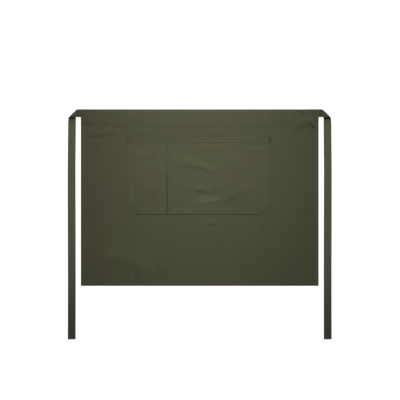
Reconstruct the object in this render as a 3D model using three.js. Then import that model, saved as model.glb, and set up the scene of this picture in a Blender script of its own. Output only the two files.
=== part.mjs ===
// Waist apron of heavy olive twill, lying face up on a flat surface with its two ties folded down beside it.
// Millimetres, +Z up and +Y towards the waistband. The origin lies under the middle of the footprint.
import * as THREE from "three";

// Cloth
const CLOTH = 1; // thickness of one layer
const CLEARANCE = 0.3; // between layers that lie on each other
const HEM_EXTRA = 0.8; // what a turned edge adds to the cloth
const HEM_SLOPE = 2.5; // run from a hem's thickness down to the single cloth
const EDGE_ROUNDING = 0.35;
const EDGE_RUN = 1.6; // width of a rounded edge
const WIDEST_STEP = 21; // between lines of a lattice

// Front panel
const PANEL_WIDTH = 770;
const PANEL_HEIGHT = 572;
const SIDE_HEM_WIDTH = 8;
const BOTTOM_HEM_HEIGHT = 22;
const FOLD_RISE = 3; // height of a full fold

// Waistband, sewn behind the panel's top edge
const BAND_HEIGHT = 48;
const BAND_STEP = 14; // run over which the panel comes down off the band

// Pocket
const POCKET_WIDTH = 469;
const POCKET_HEIGHT = 253;
const POCKET_DROP = 87; // from the panel's top edge to the pocket's mouth
const POCKET_SHIFT = -3; // middle of the pocket, right of the panel's
const POCKET_HEM_HEIGHT = 23;
const POCKET_TURN = 9; // turned edge round the sides and bottom
const CORNER_WIDTH = 37; // cut off each lower corner
const CORNER_HEIGHT = 29;
const CORNER_SPREAD = 1.6; // corner widths over which the lattice is drawn in beside a cut corner
const DIVIDER_AT = 132; // from the pocket's left edge
const DIVIDER_WIDTH = 8; // flat strip that holds the divider's two rows of stitches
const PUFF_RISE = 6.2; // how far the pocket stands off the panel
const PUFF_RUN = 85; // from the bottom seam up to the full puff
const MOUTH_SHARE = 0.92; // of the puff, left at the mouth
const FOLD_MARGIN = 22; // over which folds fade out beside the pocket's seams

// Ties
const TIE_WIDTH = 25.4;
const TIE_THICKNESS = 1.6;
const TIE_DROP = 745; // from the panel's top edge to the tie's end
const TIE_OUT = 27; // from the panel's side to the tie's middle, just under its corner fold
const TIE_INSERT = 22; // sewn in between the panel and the waistband
const TIE_STEP = 16; // run over which the panel comes down off the tie
const TIE_END_HEM = 10;
const FOLD_GAP = 5; // between the two layers of the corner fold, which isn't pressed flat
const RISE_INSERT = 6; // inside the panel's side, where the tie starts to rise to its fold
const RISE_STEP = 3; // between the cross lines of that rise
const FOLD_SECTIONS = 8;

// Soft folds. at and down place the middle, as shares of the cloth's width and height. long and wide are
// shares of its width, rise is a share of FOLD_RISE, and turn is in degrees, rising to the right.
const PANEL_FOLDS = [
  { at: 0.09, down: 0.13, long: 0.21, wide: 0.06, rise: 0.55, turn: 7 },
  { at: 0.21, down: 0.1, long: 0.16, wide: 0.05, rise: 0.4, turn: -20 },
  { at: 0.91, down: 0.1, long: 0.13, wide: 0.05, rise: 0.5, turn: 24 },
  { at: 0.97, down: 0.08, long: 0.12, wide: 0.045, rise: 0.75, turn: -48 },
  { at: 0.23, down: 0.87, long: 0.2, wide: 0.07, rise: 0.65, turn: -42 },
  { at: 0.13, down: 0.79, long: 0.14, wide: 0.06, rise: 0.3, turn: 4 },
  { at: 0.5, down: 0.69, long: 0.3, wide: 0.06, rise: 0.35, turn: -3 },
  { at: 0.96, down: 0.55, long: 0.1, wide: 0.05, rise: 0.35, turn: 5 },
];
const POCKET_FOLDS = [
  { at: 0.43, down: 0.35, long: 0.34, wide: 0.1, rise: 0.8, turn: -14 },
  { at: 0.55, down: 0.66, long: 0.22, wide: 0.09, rise: 0.6, turn: -9 },
  { at: 0.56, down: 0.835, long: 0.28, wide: 0.085, rise: 0.8, turn: 5 },
  { at: 0.71, down: 0.69, long: 0.32, wide: 0.1, rise: 0.7, turn: 31 },
  { at: 0.56, down: 0.15, long: 0.3, wide: 0.08, rise: 0.45, turn: 2 },
  { at: 0.14, down: 0.21, long: 0.26, wide: 0.11, rise: 0.4, turn: 0 },
];

// How far each tie has wandered outwards since its fold, as shares of its drop and of its width.
const TIE_WANDER = [
  { down: 0.03, out: 0.055 },
  { down: 0.25, out: 0.115 },
  { down: 0.7, out: 0.09 },
  { down: 1, out: 0.1 },
];

const { degToRad, lerp, smoothstep } = THREE.MathUtils;
const halfWidth = PANEL_WIDTH / 2;
const tieTop = CLEARANCE;
const tieBottom = tieTop + TIE_WIDTH;
const tieInnerEnd = halfWidth - TIE_INSERT;
const bandTop = CLOTH + 2 * CLEARANCE;

// Corner fold of a tie. The stub leaves the panel, rises and lies level over the hanging stretch.
const foldRadius = (TIE_THICKNESS + FOLD_GAP) / 2;
const halfTurn = Math.PI * foldRadius;
const tieMiddle = tieTop + TIE_WIDTH / 2;
const foldOut = TIE_OUT - halfTurn / Math.SQRT2; // where the fold line crosses the stub's middle
const sewnMiddle = CLOTH + CLEARANCE + TIE_THICKNESS / 2;
const foldedOver = TIE_THICKNESS / 2 + 2 * foldRadius;
const stubLevel = TIE_WIDTH / 2 + EDGE_RUN; // before the fold line, where the stub lies level
const stubRise = (out) => (foldedOver - sewnMiddle) * smoothstep(out, -RISE_INSERT, foldOut - stubLevel);

// Lattice of a sheet

// Lines through every stop, evenly spaced in between and at most one widest step apart.
function linesThrough(stops, widest = WIDEST_STEP) {
  const sorted = [...stops].sort((a, b) => a - b);
  const lines = [sorted[0]];
  for (const stop of sorted.slice(1)) {
    const from = lines.at(-1);
    if (stop - from < CLEARANCE / 2) continue;
    const steps = Math.ceil((stop - from) / widest);
    for (let k = 1; k <= steps; k += 1) lines.push(lerp(from, stop, k / steps));
  }
  return lines;
}

// A closed sheet. place(column, row) gives its upper and lower point, columns running right and rows up.
function sheetGeometry(columns, rows, place) {
  const positions = [];
  for (const row of rows) {
    for (const column of columns) {
      const { upper, lower } = place(column, row);
      positions.push(...upper, ...lower);
    }
  }
  const upperAt = (i, j) => 2 * (j * columns.length + i);
  const lowerAt = (i, j) => upperAt(i, j) + 1;
  const index = [];
  const addQuad = (a, b, c, d) => index.push(a, b, c, a, c, d);
  const right = columns.length - 1;
  const top = rows.length - 1;
  for (let j = 0; j < top; j += 1) {
    for (let i = 0; i < right; i += 1) {
      addQuad(upperAt(i, j), upperAt(i + 1, j), upperAt(i + 1, j + 1), upperAt(i, j + 1));
      addQuad(lowerAt(i, j), lowerAt(i, j + 1), lowerAt(i + 1, j + 1), lowerAt(i + 1, j));
    }
    addQuad(lowerAt(0, j + 1), lowerAt(0, j), upperAt(0, j), upperAt(0, j + 1));
    addQuad(lowerAt(right, j), lowerAt(right, j + 1), upperAt(right, j + 1), upperAt(right, j));
  }
  for (let i = 0; i < right; i += 1) {
    addQuad(lowerAt(i, 0), lowerAt(i + 1, 0), upperAt(i + 1, 0), upperAt(i, 0));
    addQuad(lowerAt(i + 1, top), lowerAt(i, top), upperAt(i, top), upperAt(i + 1, top));
  }
  const geometry = new THREE.BufferGeometry();
  geometry.setAttribute("position", new THREE.Float32BufferAttribute(positions, 3));
  geometry.setIndex(index);
  geometry.computeVertexNormals();
  return geometry;
}

// Rows are measured down from the panel's top edge, so that y falls as a row grows.
const upwards = (rows) => [...rows].reverse();

// Height of the soft folds at a point of a cloth, measured from its upper left corner.
const bell = (t) => (Math.abs(t) < 1 ? (1 + Math.cos(Math.PI * t)) / 2 : 0);

function foldRise(folds, width, height, left, down) {
  let rise = 0;
  for (const fold of folds) {
    const turn = degToRad(fold.turn);
    const right = left - fold.at * width;
    const up = fold.down * height - down;
    const along = (right * Math.cos(turn) + up * Math.sin(turn)) / ((fold.long * width) / 2);
    const across = (up * Math.cos(turn) - right * Math.sin(turn)) / ((fold.wide * width) / 2);
    rise += fold.rise * FOLD_RISE * bell(along) * bell(across);
  }
  return rise;
}

// Rounds off the upper face towards an edge that is this far away.
const roundedOff = (distance) => EDGE_ROUNDING * (1 - Math.min(distance, EDGE_RUN) / EDGE_RUN);

// Front panel

const pocketLeft = POCKET_SHIFT - POCKET_WIDTH / 2;
const pocketRight = pocketLeft + POCKET_WIDTH;
const pocketBottom = POCKET_DROP + POCKET_HEIGHT;

// 0 under the pocket, and 1 from a margin outside it.
function besidePocket(x, down) {
  const outside = Math.max(pocketLeft - x, x - pocketRight, POCKET_DROP - down, down - pocketBottom);
  return smoothstep(outside, 0, FOLD_MARGIN);
}

// 1 over the sewn-in end of a tie, and 0 from a step away.
function overTie(x, down) {
  const inwards = smoothstep(Math.abs(x), tieInnerEnd - CLEARANCE - TIE_STEP, tieInnerEnd - CLEARANCE);
  return inwards * (1 - smoothstep(down, tieBottom + CLEARANCE, tieBottom + CLEARANCE + TIE_STEP));
}

function panelLift(x, down) {
  const onBand = 1 - smoothstep(down, BAND_HEIGHT + CLEARANCE, BAND_HEIGHT + CLEARANCE + BAND_STEP);
  const folds = foldRise(PANEL_FOLDS, PANEL_WIDTH, PANEL_HEIGHT, x + halfWidth, down);
  const tieLayer = TIE_THICKNESS + CLEARANCE + stubRise(Math.abs(x) - halfWidth);
  return (CLOTH + CLEARANCE) * onBand + tieLayer * overTie(x, down) + folds * besidePocket(x, down);
}

function panelThickness(x, down) {
  const fromSide = halfWidth - Math.abs(x);
  const fromBottom = PANEL_HEIGHT - down;
  const sideHem = 1 - smoothstep(fromSide, SIDE_HEM_WIDTH, SIDE_HEM_WIDTH + HEM_SLOPE);
  const bottomHem = 1 - smoothstep(fromBottom, BOTTOM_HEM_HEIGHT, BOTTOM_HEM_HEIGHT + HEM_SLOPE);
  return CLOTH + HEM_EXTRA * Math.max(sideHem, bottomHem) - roundedOff(Math.min(fromSide, fromBottom, down));
}

const panelTop = (x, down) => panelLift(x, down) + panelThickness(x, down);

// The cloth turns down over the waistband's top edge, except where a tie comes out.
function panelUnderside(x, down) {
  const turnedDown = down <= CLOTH ? 1 - overTie(x, down) : 0;
  return panelLift(x, down) * (1 - turnedDown);
}

function frontPanel() {
  const sideStops = [
    EDGE_RUN,
    RISE_INSERT / 2,
    RISE_INSERT,
    SIDE_HEM_WIDTH,
    SIDE_HEM_WIDTH + HEM_SLOPE,
    TIE_INSERT + CLEARANCE,
    TIE_INSERT + CLEARANCE + TIE_STEP,
  ].map((inwards) => halfWidth - inwards);
  const columns = linesThrough([
    -halfWidth,
    ...sideStops.map((x) => -x),
    pocketLeft,
    pocketRight,
    ...sideStops,
    halfWidth,
  ]);
  const rows = linesThrough([
    0,
    CLOTH,
    CLOTH + CLEARANCE,
    tieBottom + CLEARANCE,
    tieBottom + CLEARANCE + TIE_STEP,
    BAND_HEIGHT + CLEARANCE,
    BAND_HEIGHT + CLEARANCE + BAND_STEP,
    POCKET_DROP,
    pocketBottom,
    PANEL_HEIGHT - BOTTOM_HEM_HEIGHT - HEM_SLOPE,
    PANEL_HEIGHT - BOTTOM_HEM_HEIGHT,
    PANEL_HEIGHT - EDGE_RUN,
    PANEL_HEIGHT,
  ]);
  return sheetGeometry(columns, upwards(rows), (x, down) => ({
    upper: [x, -down, panelTop(x, down)],
    lower: [x, -down, panelUnderside(x, down)],
  }));
}

// Waistband

function waistband() {
  const columns = linesThrough([-halfWidth, halfWidth], 4 * WIDEST_STEP);
  const rows = linesThrough([bandTop, BAND_HEIGHT], BAND_HEIGHT);
  return sheetGeometry(columns, upwards(rows), (x, down) => ({
    upper: [x, -down, CLOTH],
    lower: [x, -down, 0],
  }));
}

// Pocket

// The two compartments, from their own seams.
const compartments = [
  { from: POCKET_TURN, to: DIVIDER_AT - DIVIDER_WIDTH / 2 },
  { from: DIVIDER_AT + DIVIDER_WIDTH / 2, to: POCKET_WIDTH - POCKET_TURN },
];

const cornerInset = (down) =>
  (CORNER_WIDTH * Math.max(0, down - (POCKET_HEIGHT - CORNER_HEIGHT))) / CORNER_HEIGHT;

// Moves a column near a side in, so that the lattice follows the cut corners.
function besideCorner(left, down) {
  const zone = CORNER_WIDTH * CORNER_SPREAD;
  const squeeze = 1 - cornerInset(down) / zone;
  if (left < zone) return zone - (zone - left) * squeeze;
  const right = POCKET_WIDTH - left;
  if (right < zone) return POCKET_WIDTH - (zone - (zone - right) * squeeze);
  return left;
}

// Distance inwards from the pocket's sides, cut corners and bottom.
function fromPocketEdge(left, down) {
  const fromSide = Math.min(left, POCKET_WIDTH - left);
  const fromBottom = POCKET_HEIGHT - down;
  const overCorner = fromSide / CORNER_WIDTH + fromBottom / CORNER_HEIGHT - 1;
  const cornerScale = Math.hypot(1 / CORNER_WIDTH, 1 / CORNER_HEIGHT);
  return Math.min(fromSide, fromBottom, overCorner / cornerScale);
}

// How far the pocket stands off the panel: flat on its seams, and open at its mouth.
function puff(left, down) {
  const room = compartments.find(({ from, to }) => left > from && left < to);
  if (!room) return 0;
  const share = (left - room.from) / (room.to - room.from);
  const upFromSeam = smoothstep(POCKET_HEIGHT - POCKET_TURN - down, 0, PUFF_RUN);
  const towardsMouth = lerp(MOUTH_SHARE, 1, smoothstep(down, 0, PUFF_RUN));
  return PUFF_RISE * Math.sin(Math.PI * share) * upFromSeam * towardsMouth;
}

function pocketFolds(left, down) {
  const rooms = compartments.map(({ from, to }) => Math.min(left - from, to - left));
  const inside = Math.min(Math.max(...rooms), fromPocketEdge(left, down) - POCKET_TURN);
  return foldRise(POCKET_FOLDS, POCKET_WIDTH, POCKET_HEIGHT, left, down) * smoothstep(inside, 0, FOLD_MARGIN);
}

function pocketThickness(left, down) {
  const turned = 1 - smoothstep(fromPocketEdge(left, down), POCKET_TURN, POCKET_TURN + HEM_SLOPE);
  const mouthHem = 1 - smoothstep(down, POCKET_HEM_HEIGHT, POCKET_HEM_HEIGHT + HEM_SLOPE);
  const edge = Math.min(fromPocketEdge(left, down), down);
  return CLOTH + HEM_EXTRA * Math.max(turned, mouthHem) - roundedOff(edge);
}

function pocket() {
  const columns = linesThrough([
    0,
    EDGE_RUN,
    POCKET_TURN,
    POCKET_TURN + HEM_SLOPE,
    ...compartments.flatMap(({ from, to }) => [from, to]),
    POCKET_WIDTH - POCKET_TURN - HEM_SLOPE,
    POCKET_WIDTH - POCKET_TURN,
    POCKET_WIDTH - EDGE_RUN,
    POCKET_WIDTH,
  ]);
  const rows = linesThrough([
    0,
    EDGE_RUN,
    POCKET_HEM_HEIGHT,
    POCKET_HEM_HEIGHT + HEM_SLOPE,
    POCKET_HEIGHT - CORNER_HEIGHT,
    POCKET_HEIGHT - POCKET_TURN - HEM_SLOPE,
    POCKET_HEIGHT - POCKET_TURN,
    POCKET_HEIGHT - EDGE_RUN,
    POCKET_HEIGHT,
  ]);
  return sheetGeometry(columns, upwards(rows), (column, down) => {
    const left = besideCorner(column, down);
    const x = pocketLeft + left;
    const onPanel = panelTop(x, POCKET_DROP + down) + CLEARANCE;
    const underside = onPanel + puff(left, down) + pocketFolds(left, down);
    return {
      upper: [x, -POCKET_DROP - down, underside + pocketThickness(left, down)],
      lower: [x, -POCKET_DROP - down, underside],
    };
  });
}

// Ties

// The table's value at a share, smoothly between its rows.
function wanderAt(share) {
  let before = { down: 0, out: 0 };
  for (const row of TIE_WANDER) {
    if (share <= row.down) {
      return lerp(before.out, row.out, smoothstep(share, before.down, row.down));
    }
    before = row;
  }
  return before.out;
}

// A point of the tie, given the distance along and across it, and above its middle before it was folded.
// It runs out of the band's end, turns back under itself along a slanting line, and goes straight down.
function tiePoint(side, along, across, above) {
  const past = (along + across) / Math.SQRT2;
  const angle = THREE.MathUtils.clamp(past / foldRadius, 0, Math.PI);
  const beyondFold = Math.max(0, past - halfTurn);
  const shift = (foldRadius + above) * Math.sin(angle) - Math.max(0, past) - beyondFold;
  const drop = tieMiddle - across - shift / Math.SQRT2;
  const wander = wanderAt((beyondFold * Math.SQRT2) / TIE_DROP) * TIE_WIDTH;
  const out = foldOut + along + shift / Math.SQRT2 + wander;
  const stub = sewnMiddle + stubRise(foldOut + along);
  const height = stub - foldRadius * (1 - Math.cos(angle)) + above * Math.cos(angle);
  return [side * (halfWidth + out), -drop, height];
}

// Cross lines of the tie, square to it at both ends and slanted along the corner fold.
function tieSections() {
  const stubEnd = -(foldOut + TIE_INSERT);
  const foldEnd = halfTurn * Math.SQRT2;
  const squareAgain = foldEnd + stubLevel;
  const end = TIE_DROP - tieMiddle + halfTurn / Math.SQRT2;
  const rise = linesThrough([-foldOut - RISE_INSERT, -foldOut, -stubLevel], RISE_STEP);
  const sections = [stubEnd, ...rise].map((along) => ({ along, slant: 0 }));
  for (let k = 0; k <= FOLD_SECTIONS; k += 1) {
    sections.push({ along: (foldEnd * k) / FOLD_SECTIONS, slant: 1 });
  }
  const hemStart = end - TIE_END_HEM;
  for (const along of linesThrough([squareAgain, hemStart - HEM_SLOPE, hemStart, end], 2 * WIDEST_STEP)) {
    sections.push({ along, slant: 0, extra: along < hemStart ? 0 : HEM_EXTRA });
  }
  return sections;
}

function tie(side) {
  const half = TIE_WIDTH / 2;
  const edges = [half - EDGE_RUN, half];
  const across = [...edges.map((c) => -c).reverse(), 0, ...edges].map((c) => -c * side);
  return sheetGeometry(across, tieSections(), (c, { along, slant, extra = 0 }) => {
    const halfThickness = TIE_THICKNESS / 2 - roundedOff(half - Math.abs(c));
    const place = along - slant * c;
    return {
      upper: tiePoint(side, place, c, halfThickness),
      lower: tiePoint(side, place, c, -halfThickness - extra),
    };
  });
}

// Assembly

const twill = new THREE.MeshStandardMaterial({ color: 0x53543e, roughness: 0.92, metalness: 0 });
const pocketTwill = new THREE.MeshStandardMaterial({ color: 0x55563f, roughness: 0.92, metalness: 0 });
const bandTwill = new THREE.MeshStandardMaterial({ color: 0x4e4f3b, roughness: 0.94, metalness: 0 });
const tieTwill = new THREE.MeshStandardMaterial({ color: 0x515342, roughness: 0.9, metalness: 0 });

function named(name, geometry, material) {
  const mesh = new THREE.Mesh(geometry, material);
  mesh.name = name;
  return mesh;
}

const apron = new THREE.Group();
apron.add(
  named("front_panel", frontPanel(), twill),
  named("waistband", waistband(), bandTwill),
  named("pocket", pocket(), pocketTwill),
  named("left_tie", tie(-1), tieTwill),
  named("right_tie", tie(1), tieTwill),
);
apron.position.y = TIE_DROP / 2;

export default apron;
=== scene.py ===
import math
from collections import namedtuple

import bmesh
import bpy
import numpy as np
from bpy.props import FloatProperty, FloatVectorProperty, PointerProperty
from mathutils import Matrix, Vector


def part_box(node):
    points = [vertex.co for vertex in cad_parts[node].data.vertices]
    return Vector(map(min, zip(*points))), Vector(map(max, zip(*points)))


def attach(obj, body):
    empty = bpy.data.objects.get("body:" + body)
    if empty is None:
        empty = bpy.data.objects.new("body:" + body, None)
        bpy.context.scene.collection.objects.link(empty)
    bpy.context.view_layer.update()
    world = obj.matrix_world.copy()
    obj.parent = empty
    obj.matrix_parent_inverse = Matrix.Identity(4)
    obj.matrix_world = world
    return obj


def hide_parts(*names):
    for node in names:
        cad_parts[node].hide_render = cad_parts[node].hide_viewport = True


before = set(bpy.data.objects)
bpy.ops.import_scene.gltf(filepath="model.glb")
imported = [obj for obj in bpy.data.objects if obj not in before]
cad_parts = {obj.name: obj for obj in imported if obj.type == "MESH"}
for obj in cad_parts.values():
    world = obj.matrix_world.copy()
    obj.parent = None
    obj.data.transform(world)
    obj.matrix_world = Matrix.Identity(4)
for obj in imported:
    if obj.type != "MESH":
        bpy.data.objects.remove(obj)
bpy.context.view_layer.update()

bl_info = {
    "name": "Waist apron",
    "version": (1, 0, 0),
    "blender": (4, 5, 0),
    "location": "View3D > Sidebar > Apron",
    "description": "Cloth, seams and stitches of a waist apron that lies face up",
    "category": "Object",
}

PANEL_LOW, PANEL_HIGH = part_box("front_panel")
POCKET_LOW, POCKET_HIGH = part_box("pocket")
TIE_LOW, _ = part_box("right_tie")
PANEL_WIDTH = PANEL_HIGH.x - PANEL_LOW.x
PANEL_HEIGHT = PANEL_HIGH.y - PANEL_LOW.y
PANEL_MIDDLE = (PANEL_HIGH.x + PANEL_LOW.x) / 2
POCKET_WIDTH = POCKET_HIGH.x - POCKET_LOW.x
POCKET_HEIGHT = POCKET_HIGH.y - POCKET_LOW.y
POCKET_LEFT = POCKET_LOW.x - PANEL_LOW.x
POCKET_DROP = PANEL_HIGH.y - POCKET_HIGH.y
TIE_DROP = PANEL_HIGH.y - TIE_LOW.y
MM = 0.001


def length(name, description, millimetres):
    """A size in the sidebar, whose default is given in millimetres."""
    return FloatProperty(
        name=name, description=description, default=millimetres * MM, unit="LENGTH", precision=5
    )


def colour(name, description, red, green, blue):
    """A linear colour in the sidebar."""
    return FloatVectorProperty(
        name=name,
        description=description,
        default=(red, green, blue, 1.0),
        size=4,
        subtype="COLOR",
        min=0.0,
        max=1.0,
    )


# Sizes and colours


class ApronClothSizes(bpy.types.PropertyGroup):
    """What the layers and hems of the cloth measure"""

    cloth: length("Cloth", "Thickness of one layer", 1)
    clearance: length("Clearance", "Gap between layers that lie on each other", 0.3)
    hem_extra: length("Hem extra", "What a turned edge adds to the cloth", 0.8)
    hem_slope: length("Hem slope", "Run from a hem down to the single cloth", 2.5)
    edge_rounding: length("Edge rounding", "How far an edge is rounded off", 0.4)
    edge_run: length("Edge run", "Width of a rounded edge", 1.6)
    side_hem: length("Side hem", "Width of the panel's side hems", 8)
    bottom_hem: length("Bottom hem", "Height of the panel's bottom hem", 22)
    band_height: length("Band height", "Depth of the facing behind the top edge", 48)
    band_step: length("Band step", "Run down off the facing's edge", 14)
    top_roll: length("Top roll", "How far the folded top edge rolls over", 0.9)
    top_roll_run: length("Top roll run", "Width of the rolled top edge", 7)
    fold_rise: length("Fold rise", "Height of a full fold", 3)
    swell: length("Swell", "Height of the cloth's slight unevenness", 0.38)


class ApronPocketSizes(bpy.types.PropertyGroup):
    """What the pocket measures"""

    hem: length("Mouth hem", "Height of the hem along the mouth", 23)
    turn: length("Turning", "Turned edge round the sides and bottom", 9)
    turn_extra: length("Turning extra", "What the turned edge adds, sewn down flat", 0.2)
    corner_width: length("Corner width", "Width cut off each lower corner", 37)
    corner_height: length("Corner height", "Height cut off each lower corner", 29)
    divider: length("Divider", "From the left edge to the divider seam", 132)
    divider_width: length("Divider width", "Flat strip under the divider's rows", 8)
    puff: length("Puff", "How far the pocket stands off the panel", 6.2)
    puff_run: length("Puff run", "From the bottom seam up to the full puff", 85)
    mouth_share: FloatProperty(
        name="Mouth share", description="Share of the puff that is left at the mouth", default=0.92
    )
    fold_margin: length("Fold margin", "Over which folds fade out beside seams", 22)


class ApronTieSizes(bpy.types.PropertyGroup):
    """What the ties measure"""

    width: length("Width", "Width of a tie", 25.4)
    thickness: length("Thickness", "Thickness of a tie", 1.6)
    crown: length("Crown", "How much thicker a tie is along its middle", 0.5)
    out: length("Out", "From the panel's side to the tie's middle, under its corner fold", 27)
    insert: length("Insert", "Sewn in between the panel and the facing", 22)
    step: length("Step", "Run over which the panel comes down off the tie", 16)
    end_hem: length("End hem", "Length of the hem at a tie's end", 10)
    fold_gap: length("Fold gap", "Between the layers of the corner fold", 5)
    rise_insert: length("Rise insert", "Inside the panel's side, where a tie starts to rise to its fold", 6)
    droop: length("Droop", "How far the stub's lower edge hangs over the fold", 0.4)


class ApronSeamSizes(bpy.types.PropertyGroup):
    """What the stitches and the gathered cloth beside them measure"""

    pitch: length("Pitch", "From one stitch to the next", 3.3)
    tack: length("Bar tack", "Width of a bar tack, whose stitches lie side by side", 2.4)
    stitch: length("Stitch", "Length of a stitch", 2.7)
    thread: length("Thread", "Thickness of the thread", 0.5)
    depth: length("Depth", "How far a row of stitches pulls the cloth in", 0.45)
    width: length("Width", "Half width of the groove along a row", 2.4)
    pucker: length("Pucker", "Height of the gathers beside a row", 0.5)
    reach: length("Reach", "How far the gathers reach from a row", 8)
    band_row: length("Band row", "From the top edge to the waistband's row", 46)
    side_row: length("Side row", "From the side to the hem's row", 5.5)
    bottom_row: length("Bottom row", "From the bottom edge to the hem's row", 19.5)
    mouth_row: length("Mouth row", "From the mouth to the hem's upper row", 11)
    hem_row: length("Hem row", "From the mouth to the hem's lower row", 21)
    outer_row: length("Outer row", "From the pocket's edge to its outer row", 2)
    inner_row: length("Inner row", "From the pocket's edge to its inner row", 8)
    divider_row: length("Divider row", "From the divider's middle to either row", 2.8)
    tie_row: length("Tie row", "From a tie's edge to its row", 2.4)


class ApronColours(bpy.types.PropertyGroup):
    """Colours of the twill and thread"""

    light: colour("Warp", "Raised yarns of the twill", 0.106, 0.109, 0.055)
    dark: colour("Weft", "Sunken yarns of the twill", 0.063, 0.065, 0.0325)
    warm: colour("Warm tint", "Faint brown cast of the dye", 0.093, 0.075, 0.047)
    # Colour of worn edges, and of the painted highlights on the side hems, the pocket's rim and the crests of
    # folds.
    wear_and_painted_light: colour("Worn edge", "Rubbed edges of hems and folds", 0.14, 0.143, 0.086)
    # Colour the cloth darkens towards: painted shade in seams and creases, under the ties' folds and towards
    # their ends, and the darker strip along the panel's sides.
    painted_shade: colour("Deep seam", "Cloth down in the seams", 0.02, 0.021, 0.013)
    thread: colour("Thread", "Stitches", 0.066, 0.068, 0.042)
    floor: colour("Floor", "Pale floor", 0.2, 0.2, 0.2)


# Tables, as shares of the piece that they lie on

# at and down place a fold's middle, as shares of the cloth's width and height. long and wide are shares of
# its width, rise is a share of a full fold, turn is in degrees and rises to the right, lean moves the crest
# to one side, and bend bows it.
Fold = namedtuple("Fold", "at down long wide rise turn lean bend")


def fold_table(*rows):
    """A table's rows as folds."""
    return [Fold(*row) for row in rows]


PANEL_FOLDS = fold_table(
    (0.09, 0.13, 0.21, 0.06, 0.55, 7, 0.3, 0.1),
    (0.21, 0.1, 0.16, 0.05, 0.4, -20, 0.2, 0.0),
    (0.91, 0.1, 0.13, 0.05, 0.5, 24, -0.3, 0.0),
    (0.97, 0.08, 0.12, 0.045, 0.75, -48, 0.4, 0.1),
    (0.242, 0.885, 0.16, 0.07, 0.6, -46, 0.1, 0.15),
    (0.14, 0.843, 0.19, 0.07, 0.5, -2, 0.1, 0.1),
    (0.5, 0.69, 0.3, 0.06, 0.35, -3, 0.2, 0.1),
    (0.96, 0.55, 0.1, 0.05, 0.35, 5, 0.2, 0.0),
)
PANEL_CREASES = fold_table(
    (0.972, 0.095, 0.06, 0.018, -0.5, -46, 0.0, 0.0),
    (0.979, 0.086, 0.062, 0.021, 1.0, -46, 0.0, 0.0),
    (0.969, 0.062, 0.03, 0.016, 0.5, 45, 0.0, 0.0),
    (0.933, 0.021, 0.035, 0.016, -0.5, -50, 0.0, 0.0),
    (0.937, 0.109, 0.07, 0.022, -0.35, 21, 0.0, 0.2),
    (0.028, 0.092, 0.055, 0.016, -0.4, 0, 0.0, 0.0),
    (0.075, 0.158, 0.18, 0.035, -0.45, 6, 0.4, 0.0),
    (0.224, 0.046, 0.08, 0.04, 0.45, -70, 0.4, 0.1),
    (0.218, 0.916, 0.1, 0.035, -0.3, -55, 0.2, 0.2),
    (0.981, 0.54, 0.035, 0.016, 0.35, 0, 0.0, 0.0),
    (0.541, 0.641, 0.12, 0.03, 0.4, 4, 0.3, 0.0),
    (0.335, 0.61, 0.15, 0.02, -0.25, 0, 0.0, 0.0),
    (0.45, 0.74, 0.13, 0.024, 0.3, 88, 0.2, 0.0),
    (0.514, 0.73, 0.12, 0.024, 0.3, 93, -0.2, 0.0),
)

# Lines of painted shade in creases and seams or, where rise is below 0, painted highlights on the crests of
# folds. They don't change the height.
PANEL_PAINTED_LINES = fold_table(
    (0.974, 0.093, 0.066, 0.014, 1.2, -46, 0.0, 0.0),
    (0.933, 0.021, 0.034, 0.013, 1.0, -50, 0.0, 0.0),
    (0.04, 0.092, 0.05, 0.012, 0.6, 0, 0.0, 0.0),
    (0.234, 0.945, 0.035, 0.02, 1.0, -60, 0.0, 0.0),
    (0.14, 0.8, 0.2, 0.13, -0.35, -2, 0.0, 0.1),
    (0.27, 0.865, 0.2, 0.12, -0.35, -46, 0.0, 0.15),
)
POCKET_FOLDS = fold_table(
    (0.45, 0.335, 0.34, 0.11, 0.6, -15, 0.4, 0.25),
    (0.53, 0.66, 0.22, 0.09, 0.6, -9, 0.5, 0.0),
    (0.56, 0.875, 0.28, 0.1, 0.35, 5, -0.9, 0.1),
    (0.74, 0.725, 0.34, 0.13, 0.65, 31, 0.4, -0.1),
    (0.56, 0.15, 0.3, 0.08, 0.45, 2, 0.2, 0.1),
    (0.14, 0.21, 0.26, 0.11, 0.4, 0, 0.5, 0.0),
)
POCKET_CREASES = fold_table(
    (0.387, 0.361, 0.18, 0.05, 0.1, 2, 0.5, 0.0),
    (0.54, 0.39, 0.23, 0.065, 0.55, -22, 0.4, 0.1),
    (0.6, 0.43, 0.1, 0.045, 0.3, 12, 0.3, 0.0),
    (0.508, 0.685, 0.15, 0.045, 0.4, -12, 0.1, 0.1),
    (0.61, 0.845, 0.2, 0.06, 0.4, 5, -0.9, 0.0),
    (0.75, 0.785, 0.3, 0.08, -0.15, 32, 0.3, -0.1),
    (0.898, 0.118, 0.13, 0.03, -0.3, -12, 0.3, 0.0),
    (0.78, 0.12, 0.11, 0.03, 0.3, 3, 0.0, 0.0),
    (0.14, 0.27, 0.34, 0.12, -0.2, 0, 0.2, 0.1),
)
POCKET_PAINTED_LINES = fold_table(
    (0.284, 0.134, 0.045, 0.016, 1.0, -35, 0.0, 0.0),
    (0.6, 0.968, 0.13, 0.01, 0.5, 0, 0.0, 0.0),
    (0.56, 0.84, 0.36, 0.15, -1.0, 4, -0.3, 0.0),
    (0.4, 0.945, 0.26, 0.04, -0.8, 0, 0.0, 0.0),
)

# How far the waistband's row of stitches lies below its place, as shares of the panel's width and the band.
BAND_ROW_WANDER = ((0.0, 0.032), (0.2, 0.02), (0.5, -0.012), (0.75, -0.024), (1.0, 0.016))

# How far each tie has wandered outwards since its fold, as shares of its drop and of its width.
TIE_WANDER = ((0.0, 0.03), (0.022, 0.07), (0.25, 0.115), (0.7, 0.09), (1.0, 0.1))

# Waves of an uneven line or surface: length as a share of the longest, height as a share, and phase.
WAVES = ((1.0, 0.5, 0.4), (0.61, 0.3, 2.1), (0.37, 0.2, 4.4))
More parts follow.
